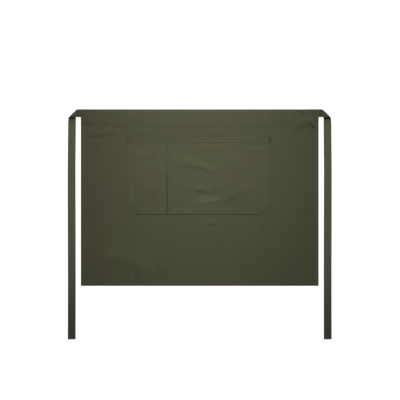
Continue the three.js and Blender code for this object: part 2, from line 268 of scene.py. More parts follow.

# Wear, painted light and shade, and lie of the cloth

# Unevenness of laid-out cloth, as crossing pairs of waves: the pair's share, then for each wave how much it
# follows left and down, its longest length and its phase.
SWELLS = (
    (0.7, (1, 0.35, 310 * MM, 0.0), (-0.2, 1, 240 * MM, 1.3)),
    (0.3, (1, -0.6, 96 * MM, 2.0), (0.3, 1, 71 * MM, 0.6)),
)

# Rows of stitches: how strongly each pulls in and gathers the cloth, and the phase of its gathers. Below the
# table are the gathers' longest wave and the strength of the ties' rows, which only pull in.
ROWS = {
    "side": (1.0, 0.0),
    "bottom": (1.0, 1.7),
    "band": (1.0, 3.1),
    "inner": (1.0, 0.5),
    "outer": (0.5, 2.5),
    "mouth": (0.7, 4.0),
    "mouth hem": (1.0, 5.0),
    "left of divider": (1.0, 1.0),
    "right of divider": (1.0, 2.0),
}
GATHER_LENGTH = 19 * MM
TIE_ROW_STRENGTH = 0.35

# Marks along edges, hems and rows, lighter or darker: its strength, and its reach to either side. The edges
# are worn; the side hems and the pocket's rim get a painted highlight; the rows, the pocket's mouth and
# divider, beside the inner row and the cloth under a tie's fold get painted shade; the sides get a darker
# strip.
WEAR_AND_LIGHT = {
    "edge": (0.25, 2.5 * MM),
    "side": (0.2, 7 * MM),
    "side hem": (1.0, 3 * MM),
    "band row": (0.35, 3 * MM),
    "bottom row": (0.15, 3 * MM),
    "mouth": (0.9, 4 * MM),
    "mouth row": (0.3, 3 * MM),
    "divider": (1.0, 4.5 * MM),
    "rim": (0.35, 3 * MM),
    "inner row": (0.25, 2.5 * MM),
    "tie edge": (0.3, 2.2 * MM),
    "tie fold": (1.0, 20 * MM),
}

# Strength of the painted shade and highlights of the lines in the tables, the left hem's share of the right
# one's, and the run over which the side hems' painted highlight and the sides' darker strip start below the
# band.
PAINTED_LINE_STRENGTH = 0.7
LEFT_HEM_SHARE = 0.5
BAND_EDGE_RUN = 4 * MM

# Longest length and phase of the uneven painted shade along the waistband's row and the pocket's mouth.
BAND_PATCHES = (210 * MM, 1.0)
MOUTH_PATCHES = (300 * MM, 2.2)

# Painted shade in the divider's seam, at its top and low down. It and the painted shadow beside the inner
# row, which lies this far outside the row, darken between two shares of the pocket's height.
DIVIDER_TOP_SHADE = 0.05
DIVIDER_LOW_SHADE = 0.95
LOWER_HALF = (0.4, 0.55)
ROW_SHADOW = 1 * MM

# A painted highlight brightens the pocket's rim between two shares of its height, and more so on the cut
# corners, up to a share of their width.
RIM_LOW = (0.85, 1.0)
CORNER_HIGHLIGHT = 1.3
CORNER_SHARE = 0.7

# A tie's painted shade: on the stub, and towards the end where the light falls off, from a share of its drop
# down. The painted shadow under the fold is darkest this far below the fold.
STUB_SHADE = 0.85
END_SHADE = 0.75
END_SHADE_FROM = 0.6
FOLD_SHADOW_DEPTH = 6 * MM

# How deep a valley is pressed into flat cloth, as a share of its thickness.
VALLEY = 0.45

# The stub's lower edge droops from this share of its half width on, where the stub is free of the panel and
# of the fold.
DROOP_FROM = 0.3
FREE_OF_PANEL = 10 * MM
FREE_OF_FOLD = 12 * MM

# The hanging part of a tie lies down between these distances from its fold. There it rises and twists a
# little, in waves of these heights and lengths.
TIE_LIES = (30 * MM, 70 * MM)
TIE_LIFT = 0.5 * MM
TIE_LIFT_LENGTH = 190 * MM
TIE_TWIST = 0.4 * MM
TIE_TWIST_LENGTH = 47 * MM

# Run up to the hem at a tie's end, and half width of the grooves along its rows.
TIE_HEM_RUN = 1.5 * MM
TIE_GROOVE = 1.3 * MM

# Meshes and stitches

# Steps of the grids that the cloth starts from, and how near a line a vertex counts as lying on it.
PANEL_GRID = 3.4 * MM
BAND_GRID = 6 * MM
POCKET_GRID = 3 * MM
TIE_GRID = 3 * MM
SNAP = 0.05 * MM

# Lines of vertices just inside each edge, two more along the rolled top edge, and a corner fold's steps.
EDGE_LINE = 0.4 * MM
TOP_LINE = 0.3 * MM
ROLL_LINE = 3 * MM
FOLD_STEPS = 12

# Where rows of stitches stop: before an edge, below the pocket's mouth, below its hem, and beside a fold or
# seam. The waistband's row has this many corners.
ROW_END = 2 * MM
ROW_TOP = 0.5 * MM
DIVIDER_START = 8 * MM
ROW_GAP = 1 * MM
BAND_ROW_CORNERS = 12

# The pocket's bar tacks, from its mouth and nearer side: a straight one at the upper left corner and a
# pointed one at the upper right.
TACK_INSET = 1.4 * MM
TACK_TOP = 1 * MM
POINTED_TACK_TOP = 5 * MM
POINTED_TACK_TIP = 4 * MM
POINTED_TACK_WIDTH = 9 * MM

# A stitch's flatness, and how far stitches and bar tacks stand out, as shares of the thread's thickness. The
# slope of the cloth is measured this far beside a stitch.
FLATNESS = 0.9
STITCH_RISE = 0.2
TACK_RISE = 0.4
SLOPE_STEP = 0.5 * MM

# Finishes

# How warm, how light and how blue the twill of each piece is. The ties are made lighter as painted light,
# making up for the key light falling off towards the sides.
DYES_AND_PAINTED_LIGHT = {
    "panel_twill": (0.7, 1.0, 1.02),
    "band_twill": (0.7, 0.95, 1.0),
    "pocket_twill": (0.4, 1.06, 0.98),
    "left_tie_twill": (0.1, 1.55, 1.15),
    "right_tie_twill": (0.1, 1.55, 1.15),
}

# Scales of the patterns of the twill's yarns and ribs, and the ribs' slant in degrees.
WARP_YARNS = (1500, 60, 1)
WEFT_YARNS = (70, 1300, 1)
RIBS = 290
RIB_SLANT = 58

# The brown cast fades from one X to the other, and over this height from the bottom up.
WARM_LEFT = (-0.36, -0.18)
WARM_LOW = 45 * MM

WHITE = (1, 1, 1, 1)


def props():
    """The scene's apron settings."""
    return bpy.context.scene.apron


# Plain sums


def smoothstep(x, low, high):
    """0 below low, 1 above high, and a smooth rise between."""
    share = np.clip((x - low) / (high - low), 0.0, 1.0)
    return share * share * (3 - 2 * share)


def bell(place):
    """1 in the middle, falling smoothly to 0 at -1 and 1."""
    return np.where(np.abs(place) < 1, (1 + np.cos(np.pi * np.clip(place, -1, 1))) / 2, 0.0)


def along_table(table, share):
    """A table's value at a share, smoothly between its rows."""
    shares = [row[0] for row in table]
    values = [row[1] for row in table]
    row = np.clip(np.searchsorted(shares, share, side="right") - 1, 0, len(table) - 2)
    onwards = smoothstep(share, np.take(shares, row), np.take(shares, row + 1))
    return np.take(values, row) * (1 - onwards) + np.take(values, row + 1) * onwards


def waves(distance, longest, phase=0.0):
    """An uneven line, between 0 and 1."""
    total = sum(
        height * np.sin(2 * np.pi * distance / (longest * share) + start + phase)
        for share, height, start in WAVES
    )
    return (total + 1) / 2


def fold_share(folds, width, height, left, down):
    """Height of the folds, in full folds, at points measured from a cloth's upper left corner."""
    rise = np.zeros_like(left)
    for fold in folds:
        turn = math.radians(fold.turn)
        right = left - fold.at * width
        up = fold.down * height - down
        along = (right * math.cos(turn) + up * math.sin(turn)) / (fold.long * width / 2)
        across = (up * math.cos(turn) - right * math.sin(turn)) / (fold.wide * width / 2)
        across = across + fold.bend * np.clip(along, -1, 1) ** 2
        leaning = across + fold.lean * (1 - np.clip(across, -1, 1) ** 2) / 2
        rise += fold.rise * bell(along) * bell(leaning)
    return rise


def swell(left, down):
    """The slight unevenness of cloth that has been folded away and laid out again."""
    height = 0
    for share, *pair in SWELLS:
        first, second = (
            waves(right * left + below * down, longest, phase) for right, below, longest, phase in pair
        )
        height = height + share * (first * second)
    return props().cloth.swell * height


def loose_height(folds, creases, width, height, left, down):
    """Height of a cloth's folds, creases and unevenness, below 0 in a valley."""
    full = props().cloth.fold_rise
    folded = fold_share(folds, width, height, left, down) * full
    creased = fold_share(creases, width, height, left, down) * full
    return folded + creased + swell(left, down)


def seam_relief(row, across, along):
    """How a row of stitches pulls the cloth in, and gathers it to either side."""
    seams = props().seams
    strength, phase = ROWS[row]
    groove = -seams.depth * np.exp(-((across / seams.width) ** 2))
    beside = np.exp(-np.abs(across) / seams.reach) - np.exp(-((across / seams.width) ** 2))
    return strength * (groove + seams.pucker * waves(along, GATHER_LENGTH, phase) * beside)


def rounded_off(distance):
    """How much lower the cloth is this close to its edge."""
    cloth = props().cloth
    return cloth.edge_rounding * (1 - np.clip(distance, 0, cloth.edge_run) / cloth.edge_run) ** 2


def wear_and_painted_light(kind, distance):
    """A mark along a line, of wear, painted shade or painted highlight by its kind: full on the line, and
    none past its reach.
    """
    strength, reach = WEAR_AND_LIGHT[kind]
    return strength * (1 - smoothstep(np.abs(distance), 0, reach))


def hem_lines(row, hem):
    """Where lines of vertices run inside a hemmed edge, from its edge to the single cloth."""
    cloth = props().cloth
    return EDGE_LINE, cloth.edge_run, row, hem, hem + cloth.hem_slope


# Corner fold of a tie


def tie_fold():
    """Radius and half turn of the fold, and how far out from the panel its line crosses the tie's middle."""
    tie = props().tie
    radius = (tie.thickness + tie.fold_gap) / 2
    half_turn = math.pi * radius
    return radius, half_turn, tie.out - half_turn / math.sqrt(2)


def tie_middle():
    """From the panel's top edge down to the middle of the sewn-in tie."""
    return props().cloth.clearance + props().tie.width / 2


def tie_end():
    """Length of a tie's middle from the fold line to its end."""
    _, half_turn, _ = tie_fold()
    return TIE_DROP - tie_middle() + half_turn / math.sqrt(2)


def sewn_level():
    """Height of a tie's middle where it is sewn in."""
    return props().cloth.cloth + props().cloth.clearance + props().tie.thickness / 2


def stub_rise(out):
    """How far a tie has risen to its fold at a distance out from the panel's side."""
    tie = props().tie
    radius, _, fold_out = tie_fold()
    folded_over = tie.thickness / 2 + 2 * radius
    level = fold_out - tie.width / 2 - props().cloth.edge_run
    return (folded_over - sewn_level()) * smoothstep(out, -tie.rise_insert, level)


# Panel


def panel_point(left, down, height):
    """A point at a place measured from the panel's upper left corner."""
    return PANEL_LOW.x + left, PANEL_HIGH.y - down, height


def pocket_point(left, down, height):
    """A point at a place measured from the pocket's upper left corner."""
    return POCKET_LOW.x + left, POCKET_HIGH.y - down, height


def from_side(left):
    """Distance inwards from the panel's nearer side."""
    return np.minimum(left, PANEL_WIDTH - left)


def over_tie(left, down):
    """1 over the sewn-in end of a tie, and 0 from a step away."""
    cloth, tie = props().cloth, props().tie
    edge = tie.insert + cloth.clearance
    below = cloth.clearance * 2 + tie.width
    inwards = 1 - smoothstep(from_side(left), edge, edge + tie.step)
    return inwards * (1 - smoothstep(down, below, below + tie.step))


def band_row(left):
    """Where the waistband's row of stitches runs, down from the panel's top edge."""
    wander = along_table(BAND_ROW_WANDER, left / PANEL_WIDTH) * props().cloth.band_height
    return props().seams.band_row + wander


def beside_pocket(left, down):
    """0 under the pocket, and 1 from a margin outside it."""
    outside = np.maximum.reduce(
        [
            POCKET_LEFT - left,
            left - POCKET_LEFT - POCKET_WIDTH,
            POCKET_DROP - down,
            down - POCKET_DROP - POCKET_HEIGHT,
        ]
    )
    return smoothstep(outside, 0, props().pocket.fold_margin)


def panel_folds(left, down):
    """Height of the panel's folds, creases and unevenness."""
    return loose_height(PANEL_FOLDS, PANEL_CREASES, PANEL_WIDTH, PANEL_HEIGHT, left, down)


def panel_lower(left, down):
    """Height of the panel's underside."""
    cloth, tie = props().cloth, props().tie
    edge = cloth.band_height + cloth.clearance
    on_band = 1 - smoothstep(down, edge, edge + cloth.band_step)
    layers = (cloth.cloth + cloth.clearance) * on_band
    tie_layer = tie.thickness + cloth.clearance + stub_rise(-from_side(left))
    layers = layers + tie_layer * over_tie(left, down)
    rolled = np.clip(1 - down / cloth.top_roll_run, 0, 1) ** 2 * (1 - over_tie(left, down))
    loose = panel_folds(left, down) * beside_pocket(left, down)
    flat = layers - cloth.top_roll * rolled
    return np.maximum(flat + np.maximum(loose, 0), 0)


def panel_upper(left, down):
    """Height of the panel's face."""
    cloth, seams = props().cloth, props().seams
    side = from_side(left)
    up = PANEL_HEIGHT - down
    side_hem = 1 - smoothstep(side, cloth.side_hem, cloth.side_hem + cloth.hem_slope)
    bottom_hem = 1 - smoothstep(up, cloth.bottom_hem, cloth.bottom_hem + cloth.hem_slope)
    thickness = cloth.cloth + cloth.hem_extra * np.maximum(side_hem, bottom_hem)
    thickness = thickness - rounded_off(np.minimum(np.minimum(side, up), down))
    relief = seam_relief("side", side - seams.side_row, down)
    relief = relief + seam_relief("bottom", up - seams.bottom_row, left)
    relief = relief + seam_relief("band", down - band_row(left), left)
    apart = beside_pocket(left, down)
    inside = smoothstep(np.minimum(np.minimum(side, up), down), 0, cloth.edge_run)
    pressed = np.maximum(np.minimum(panel_folds(left, down), 0) * apart, -cloth.cloth * VALLEY)
    return panel_lower(left, down) + thickness + relief * inside * apart + pressed


def on_panel(left, down):
    """A point of the panel's face."""
    return panel_point(left, down, panel_upper(left, down))


# Pocket


def from_pocket_edge(left, down):
    """Distance inwards from the pocket's sides, cut corners and bottom."""
    pocket = props().pocket
    side = np.minimum(left, POCKET_WIDTH - left)
    up = POCKET_HEIGHT - down
    over_corner = side / pocket.corner_width + up / pocket.corner_height - 1
    scale = math.hypot(1 / pocket.corner_width, 1 / pocket.corner_height)
    return np.minimum(np.minimum(side, up), over_corner / scale)


def rooms():
    """The pocket's two rooms, from seam to seam."""
    pocket = props().pocket
    half = pocket.divider_width / 2
    return (
        (pocket.turn, pocket.divider - half),
        (pocket.divider + half, POCKET_WIDTH - pocket.turn),
    )


def puff(left, down):
    """How far the pocket stands off the panel: flat on its seams, and open at its mouth."""
    pocket = props().pocket
    across = sum(
        np.sin(np.pi * np.clip((left - start) / (end - start), 0, 1)) for start, end in rooms()
    )
    up = smoothstep(POCKET_HEIGHT - pocket.turn - down, 0, pocket.puff_run)
    towards_mouth = smoothstep(down, 0, pocket.puff_run)
    share = pocket.mouth_share + (1 - pocket.mouth_share) * towards_mouth
    return pocket.puff * across * up * share


def inside_room(left, down):
    """Distance inwards from the seams round a room, or less than 0 outside them all."""
    seams = [np.minimum(left - start, end - left) for start, end in rooms()]
    return np.minimum(np.maximum(*seams), from_pocket_edge(left, down) - props().pocket.turn)


def pocket_lower(left, down):
    """Height of the pocket's inner face."""
    pocket = props().pocket
    loose = smoothstep(inside_room(left, down), 0, pocket.fold_margin)
    folds = loose_height(POCKET_FOLDS, POCKET_CREASES, POCKET_WIDTH, POCKET_HEIGHT, left, down)
    resting = panel_upper(left + POCKET_LEFT, down + POCKET_DROP) + props().cloth.clearance
    return resting + np.maximum(puff(left, down) + folds * loose, 0)


def pocket_upper(left, down):
    """Height of the pocket's face."""
    cloth, pocket, seams = props().cloth, props().pocket, props().seams
    edge = from_pocket_edge(left, down)
    turned = 1 - smoothstep(edge, pocket.turn, pocket.turn + cloth.hem_slope)
    mouth_hem = 1 - smoothstep(down, pocket.hem, pocket.hem + cloth.hem_slope)
    thickness = cloth.cloth + np.maximum(pocket.turn_extra * turned, cloth.hem_extra * mouth_hem)
    thickness = thickness - rounded_off(np.minimum(edge, down))
    round_edge = left + down
    rows = [
        seam_relief("inner", edge - seams.inner_row, round_edge),
        seam_relief("outer", edge - seams.outer_row, round_edge),
        seam_relief("mouth", down - seams.mouth_row, left),
        seam_relief("mouth hem", down - seams.hem_row, left),
        seam_relief("left of divider", left - pocket.divider + seams.divider_row, down),
        seam_relief("right of divider", left - pocket.divider - seams.divider_row, down),
    ]
    inside = smoothstep(np.minimum(edge, down), 0, cloth.edge_run)
    return pocket_lower(left, down) + thickness + sum(rows) * inside


def on_pocket(left, down):
    """A point of the pocket's face."""
    return pocket_point(left, down, pocket_upper(left, down))


# Ties


def tie_point(side, along, across, above):
    """A point of a tie, given its place along, across and above its middle before it was folded.

    The tie runs out of the band's end, turns back under itself on a slanting line and goes straight down."""
    tie = props().tie
    radius, half_turn, fold_out = tie_fold()
    half = tie.width / 2
    past = (along + across) / math.sqrt(2)
    angle = np.clip(past / radius, 0, np.pi)
    beyond = np.maximum(0, past - half_turn)
    shift = (radius + above) * np.sin(angle) - np.maximum(0, past) - beyond
    drop = tie_middle() - across - shift / math.sqrt(2)
    walked = beyond * math.sqrt(2)
    wander = along_table(TIE_WANDER, np.clip(walked / TIE_DROP, 0, 1)) * tie.width
    out = fold_out + along + shift / math.sqrt(2) + wander
    free = smoothstep(out, 0, FREE_OF_PANEL) * (1 - smoothstep(past, -FREE_OF_FOLD, 0))
    sagging = tie.droop * smoothstep(-across, DROOP_FROM * half, half) * free
    stub = sewn_level() + stub_rise(fold_out + along) - sagging
    lift = TIE_LIFT * waves(walked, TIE_LIFT_LENGTH, side)
    twist = TIE_TWIST * (1 + np.sin(walked / TIE_TWIST_LENGTH + side)) * np.maximum(across / half, 0)
    lifted = (lift + twist) * smoothstep(walked, *TIE_LIES)
    height = stub - radius * (1 - np.cos(angle)) + above * np.cos(angle) + lifted
    x = PANEL_MIDDLE + side * (PANEL_WIDTH / 2 + out)
    return x, PANEL_HIGH.y - drop, height


def tie_half_thickness(across):
    """Half a tie's thickness: fullest along the middle, and rounded off along the edges."""
    tie = props().tie
    half = tie.width / 2
    crowned = tie.crown / 2 * (1 - (across / half) ** 2)
    rows = np.abs(np.abs(across) - half + props().seams.tie_row)
    groove = TIE_ROW_STRENGTH * props().seams.depth * np.exp(-((rows / TIE_GROOVE) ** 2))
    return tie.thickness / 2 - tie.crown / 2 + crowned - rounded_off(half - np.abs(across)) - groove


def tie_face(side, along, across, underneath):
    """A point on the face that was up before the fold, or with underneath on the other one."""
    tie = props().tie
    half = tie_half_thickness(across)
    hem_start = tie_end() - tie.end_hem
    hem = props().cloth.hem_extra * smoothstep(along, hem_start - TIE_HEM_RUN, hem_start)
    above = np.where(underneath, -half - hem, half)
    return tie_point(side, along, across, above)


# Mesh helpers


def flat_cloth(width, height, step):
    """A flat lattice, its upper left corner at the origin, right along +X and down along -Y."""
    bm = bmesh.new()
    bmesh.ops.create_grid(
        bm, x_segments=round(width / step), y_segments=round(height / step), size=0.5
    )
    bmesh.ops.scale(bm, vec=(width, height, 1), verts=bm.verts)
    bmesh.ops.translate(bm, vec=(width / 2, -height / 2, 0), verts=bm.verts)
    return bm


def score(bm, point, normal, cut_away=False):
    """Adds a line of vertices where a plane crosses the cloth. cut_away drops what lies past the plane."""
    geometry = bm.verts[:] + bm.edges[:] + bm.faces[:]
    bmesh.ops.bisect_plane(
        bm, geom=geometry, dist=SNAP, plane_co=point, plane_no=normal, clear_outer=cut_away
    )


def score_columns(bm, places):
    """Adds a line down the cloth at each place from the left."""
    for left in places:
        score(bm, (left, 0, 0), (1, 0, 0))


def score_rows(bm, places):
    """Adds a line across the cloth at each place from the top."""
    for down in places:
        score(bm, (0, -down, 0), (0, 1, 0))


def close_cloth(bm, lower, upper, paint_wear_and_light):
    """Gives flat cloth its two faces, joined round the edges.

    lower and upper turn (left, down) into points, and the third function gives the cloth's wear and its
    painted light and shade there."""
    weave = bm.loops.layers.uv.new("weave")
    wear_and_shading = bm.verts.layers.float.new("wear_and_shading")
    result = bmesh.ops.extrude_face_region(bm, geom=bm.faces[:])
    raised = {item for item in result["geom"] if isinstance(item, bmesh.types.BMVert)}
    bm.verts.ensure_lookup_table()
    for face in bm.faces:
        face.smooth = True
        for loop in face.loops:
            loop[weave].uv = loop.vert.co.xy
    plan = np.array([vert.co[:] for vert in bm.verts])
    left, down = plan[:, 0], -plan[:, 1]
    below = np.stack(np.broadcast_arrays(*lower(left, down)), axis=1)
    above = np.stack(np.broadcast_arrays(*upper(left, down)), axis=1)
    worn_and_shaded = np.broadcast_to(paint_wear_and_light(left, down), left.shape)
    for index, vert in enumerate(bm.verts):
        vert.co = above[index] if vert in raised else below[index]
        vert[wear_and_shading] = worn_and_shaded[index]
    bmesh.ops.recalc_face_normals(bm, faces=bm.faces)


def make_object(bm, name, material):
    """An object of the mesh, in the scene."""
    mesh = bpy.data.meshes.new(name)
    bm.to_mesh(mesh)
    bm.free()
    mesh.materials.append(material)
    made = bpy.data.objects.new(name, mesh)
    bpy.context.scene.collection.objects.link(made)
    return made


def finish_piece(bm, name, material):
    """Makes a piece of the mesh, riding on the apron's one body."""
    piece = make_object(bm, name, material)
    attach(piece, "root")
    return piece


# Materials


def new_material(name, **values):
    """A material, its node tree, and its shader with some sockets set."""
    material = bpy.data.materials.new(name)
    material.use_nodes = True
    shader = material.node_tree.nodes["Principled BSDF"]
    for key, value in values.items():
        shader.inputs[key.replace("_", " ")].default_value = value
    return material, material.node_tree, shader


def plug(tree, socket, value):
    """Links a socket to another node's output, or sets it to a fixed value."""
    if isinstance(value, bpy.types.NodeSocket):
        tree.links.new(value, socket)
    else:
        socket.default_value = value


def add_node(tree, kind, **values):
    """A node with some of its settings and sockets set. In a socket's name, _ stands for a space."""
    node = tree.nodes.new(kind)
    for key, value in values.items():
        if hasattr(node, key):
            setattr(node, key, value)
        else:
            plug(tree, node.inputs[key.replace("_", " ")], value)
    return node


def mix_colour(tree, factor, first, second):
    """A mix of two colours, each a socket or a fixed colour."""
    node = add_node(tree, "ShaderNodeMix", data_type="RGBA", Factor=factor)
    plug(tree, node.inputs[6], first)
    plug(tree, node.inputs[7], second)
    return node.outputs[2]


def combined(tree, operation, first, second):
    """One value of two, such as their MAXIMUM."""
    node = add_node(tree, "ShaderNodeMath", operation=operation)
    plug(tree, node.inputs[0], first)
    plug(tree, node.inputs[1], second)
    return node.outputs["Value"]


def scaled(tree, vector, scale, turn=0.0):
    """A pattern's coordinates, scaled and turned."""
    node = add_node(tree, "ShaderNodeMapping", Vector=vector, Scale=scale, Rotation=(0, 0, turn))
    return node.outputs["Vector"]


def ranged(tree, value, low, high, to_low=0.0, to_high=1.0):
    """A value spread from one range over another."""
    node = add_node(
        tree,
        "ShaderNodeMapRange",
        Value=value,
        From_Min=low,
        From_Max=high,
        To_Min=to_low,
        To_Max=to_high,
    )
    return node.outputs["Result"]


def noise(tree, vector, scale, detail, roughness=0.5):
    """A noise pattern's value."""
    node = add_node(
        tree, "ShaderNodeTexNoise", Vector=vector, Scale=scale, Detail=detail, Roughness=roughness
    )
    return node.outputs["Fac"]


def bump(tree, height, strength, distance, **below):
    """The normal of a pattern that is raised from the surface, or from the Normal below it."""
    node = add_node(
        tree, "ShaderNodeBump", Height=height, Strength=strength, Distance=distance, **below
    )
    return node.outputs["Normal"]


def twill(name):
    """Heavy twill: slanting ribs, slubs, a faint brown cast on the left and low down, worn edges, and painted
    shade and highlights.
    """
    colours = props().colours
    warmth, shade, blue = DYES_AND_PAINTED_LIGHT[name]
    material, tree, shader = new_material(
        name, Roughness=0.88, Specular_IOR_Level=0.25, Sheen_Weight=0.12, Sheen_Roughness=0.6
    )
    flat = add_node(tree, "ShaderNodeUVMap", uv_map="weave").outputs["UV"]
    ribs = add_node(
        tree,
        "ShaderNodeTexWave",
        wave_type="BANDS",
        bands_direction="X",
        Vector=scaled(tree, flat, (1, 1, 1), math.radians(RIB_SLANT)),
        Scale=RIBS,
        Distortion=1.2,
        Detail=2,
        Detail_Scale=1.6,
    ).outputs["Fac"]
    warp = noise(tree, scaled(tree, flat, WARP_YARNS), scale=1, detail=3)
    weft = noise(tree, scaled(tree, flat, WEFT_YARNS), scale=1, detail=3)
    place = tree.nodes.new("ShaderNodeTexCoord").outputs["Object"]
    patches = noise(tree, place, scale=3.2, detail=4, roughness=0.6)
    mottle = noise(tree, place, scale=42, detail=5)

    # The ties' greater lightness is painted light, standing in for light that falls off towards the sides.
    light, dark, warm = (
        (shade * tone[0], shade * tone[1], shade * blue * tone[2], 1)
        for tone in (colours.light, colours.dark, colours.warm)
    )
    yarn = mix_colour(tree, ranged(tree, ribs, 0.1, 0.9, 0.25, 0.85), dark, light)
    slub = mix_colour(tree, ranged(tree, warp, 0.35, 0.75, 0.0, 0.4), yarn, light)
    slub = mix_colour(tree, ranged(tree, weft, 0.35, 0.75, 0.0, 0.35), slub, dark)
    mottled = mix_colour(tree, ranged(tree, mottle, 0.35, 0.7, 0.0, 0.25), slub, dark)
    sides = add_node(tree, "ShaderNodeSeparateXYZ", Vector=place)
    leftwards = ranged(tree, sides.outputs["X"], *WARM_LEFT, warmth, 0.15 * warmth)
    hemwards = ranged(tree, sides.outputs["Y"], PANEL_LOW.y, PANEL_LOW.y + WARM_LOW, 0.6 * warmth, 0)
    placed = combined(tree, "MAXIMUM", leftwards, hemwards)
    tinted = combined(tree, "MULTIPLY", placed, ranged(tree, patches, 0.35, 0.65))
    cast = mix_colour(tree, tinted, mottled, warm)
    # The mesh's marks: worn edges and painted highlights mix towards the light colour, and painted shade and
    # the sides' darker strip towards the dark one.
    wear_and_shading = add_node(tree, "ShaderNodeAttribute", attribute_name="wear_and_shading").outputs["Fac"]
    worn_and_shaded = mix_colour(tree, ranged(tree, wear_and_shading, 0, 1, 0, 0.55), cast, colours.wear_and_painted_light)
    painted_shade_mix = mix_colour(tree, ranged(tree, wear_and_shading, -1, 0, 0.6, 0), worn_and_shaded, colours.painted_shade)
    tree.links.new(painted_shade_mix, shader.inputs["Base Color"])

    ribbed = bump(tree, ribs, strength=0.5, distance=0.25 * MM)
    woven = bump(tree, warp, strength=0.4, distance=0.2 * MM, Normal=ribbed)
    crumpled = bump(tree, mottle, strength=0.35, distance=0.8 * MM, Normal=woven)
    tree.links.new(crumpled, shader.inputs["Normal"])
    return material


def spun_thread():
    """Matt sewing thread, its twist shown as fine slanting ridges."""
    material, tree, shader = new_material("spun_thread", Roughness=0.7, Sheen_Weight=0.2)
    place = tree.nodes.new("ShaderNodeTexCoord").outputs["Object"]
    twist = add_node(
        tree,
        "ShaderNodeTexWave",
        wave_type="BANDS",
        bands_direction="DIAGONAL",
        Vector=place,
        Scale=900,
    ).outputs["Fac"]
    thread = props().colours.thread
    shaded = [0.75 * value for value in thread[:3]] + [1]
    tone = ranged(tree, noise(tree, place, scale=160, detail=2), 0.3, 0.7)
    tree.links.new(mix_colour(tree, tone, shaded, thread), shader.inputs["Base Color"])
    ridges = bump(tree, twist, strength=0.5, distance=0.1 * MM)
    tree.links.new(ridges, shader.inputs["Normal"])
    return material


# Pieces


class APRON_OT_front_panel(bpy.types.Operator):
    """Make the front panel, with its hems, folds and gathered seams"""

    bl_idname = "apron.front_panel"
    bl_label = "Front panel"

    def execute(self, context):
        cloth, seams = context.scene.apron.cloth, context.scene.apron.seams
        bm = flat_cloth(PANEL_WIDTH, PANEL_HEIGHT, PANEL_GRID)
        side_lines = hem_lines(seams.side_row, cloth.side_hem)
        score_columns(bm, side_lines)
        score_columns(bm, [PANEL_WIDTH - line for line in side_lines])
        score_rows(bm, (TOP_LINE, cloth.cloth, cloth.edge_run, ROLL_LINE))
        score_rows(bm, [PANEL_HEIGHT - line for line in hem_lines(seams.bottom_row, cloth.bottom_hem)])

        def lower(left, down):
            # The top edge turns down in front of the facing, except over the ties.
            turned_down = np.where(down < cloth.cloth + SNAP, over_tie(left, down), 1.0)
            return panel_point(left, down, panel_lower(left, down) * turned_down)

        # Worn edges, a painted highlight along the side hems, a darker strip along the sides, painted shade
        # along the rows, and painted shade and highlights along the table's lines.
        def paint_wear_and_light(left, down):
            side, up = from_side(left), PANEL_HEIGHT - down
            edges = wear_and_painted_light("edge", np.minimum(np.minimum(side, down), up))
            hems = wear_and_painted_light("side hem", side - cloth.side_hem) * np.where(left > side, 1.0, LEFT_HEM_SHARE)
            below_band = smoothstep(down, cloth.band_height, cloth.band_height + BAND_EDGE_RUN)
            rows = wear_and_painted_light("band row", down - band_row(left)) * (0.5 + waves(left, *BAND_PATCHES))
            rows = rows + wear_and_painted_light("bottom row", up - seams.bottom_row)
            lines = PAINTED_LINE_STRENGTH * fold_share(PANEL_PAINTED_LINES, PANEL_WIDTH, PANEL_HEIGHT, left, down)
            return edges + (hems - wear_and_painted_light("side", side)) * below_band - rows - lines

        close_cloth(bm, lower, on_panel, paint_wear_and_light)
        panel = finish_piece(bm, "front_panel_cloth", twill("panel_twill"))
        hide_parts("front_panel")
        return {"FINISHED"}


class APRON_OT_waistband(bpy.types.Operator):
    """Make the waistband's facing, behind the panel's top edge"""

    bl_idname = "apron.waistband"
    bl_label = "Waistband facing"

    def execute(self, context):
        cloth = context.scene.apron.cloth
        top = cloth.cloth + 2 * cloth.clearance
        bm = flat_cloth(PANEL_WIDTH, cloth.band_height - top, BAND_GRID)
        score_rows(bm, (EDGE_LINE, cloth.band_height - top - EDGE_LINE))

        def lower(left, down):
            return panel_point(left, down + top, 0)

        def upper(left, down):
            under_panel = panel_lower(left, down + top) - cloth.clearance
            return panel_point(left, down + top, np.minimum(under_panel, cloth.cloth))

        close_cloth(bm, lower, upper, lambda left, down: 0)
        band = finish_piece(bm, "waistband_facing", twill("band_twill"))
        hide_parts("waistband")
        return {"FINISHED"}


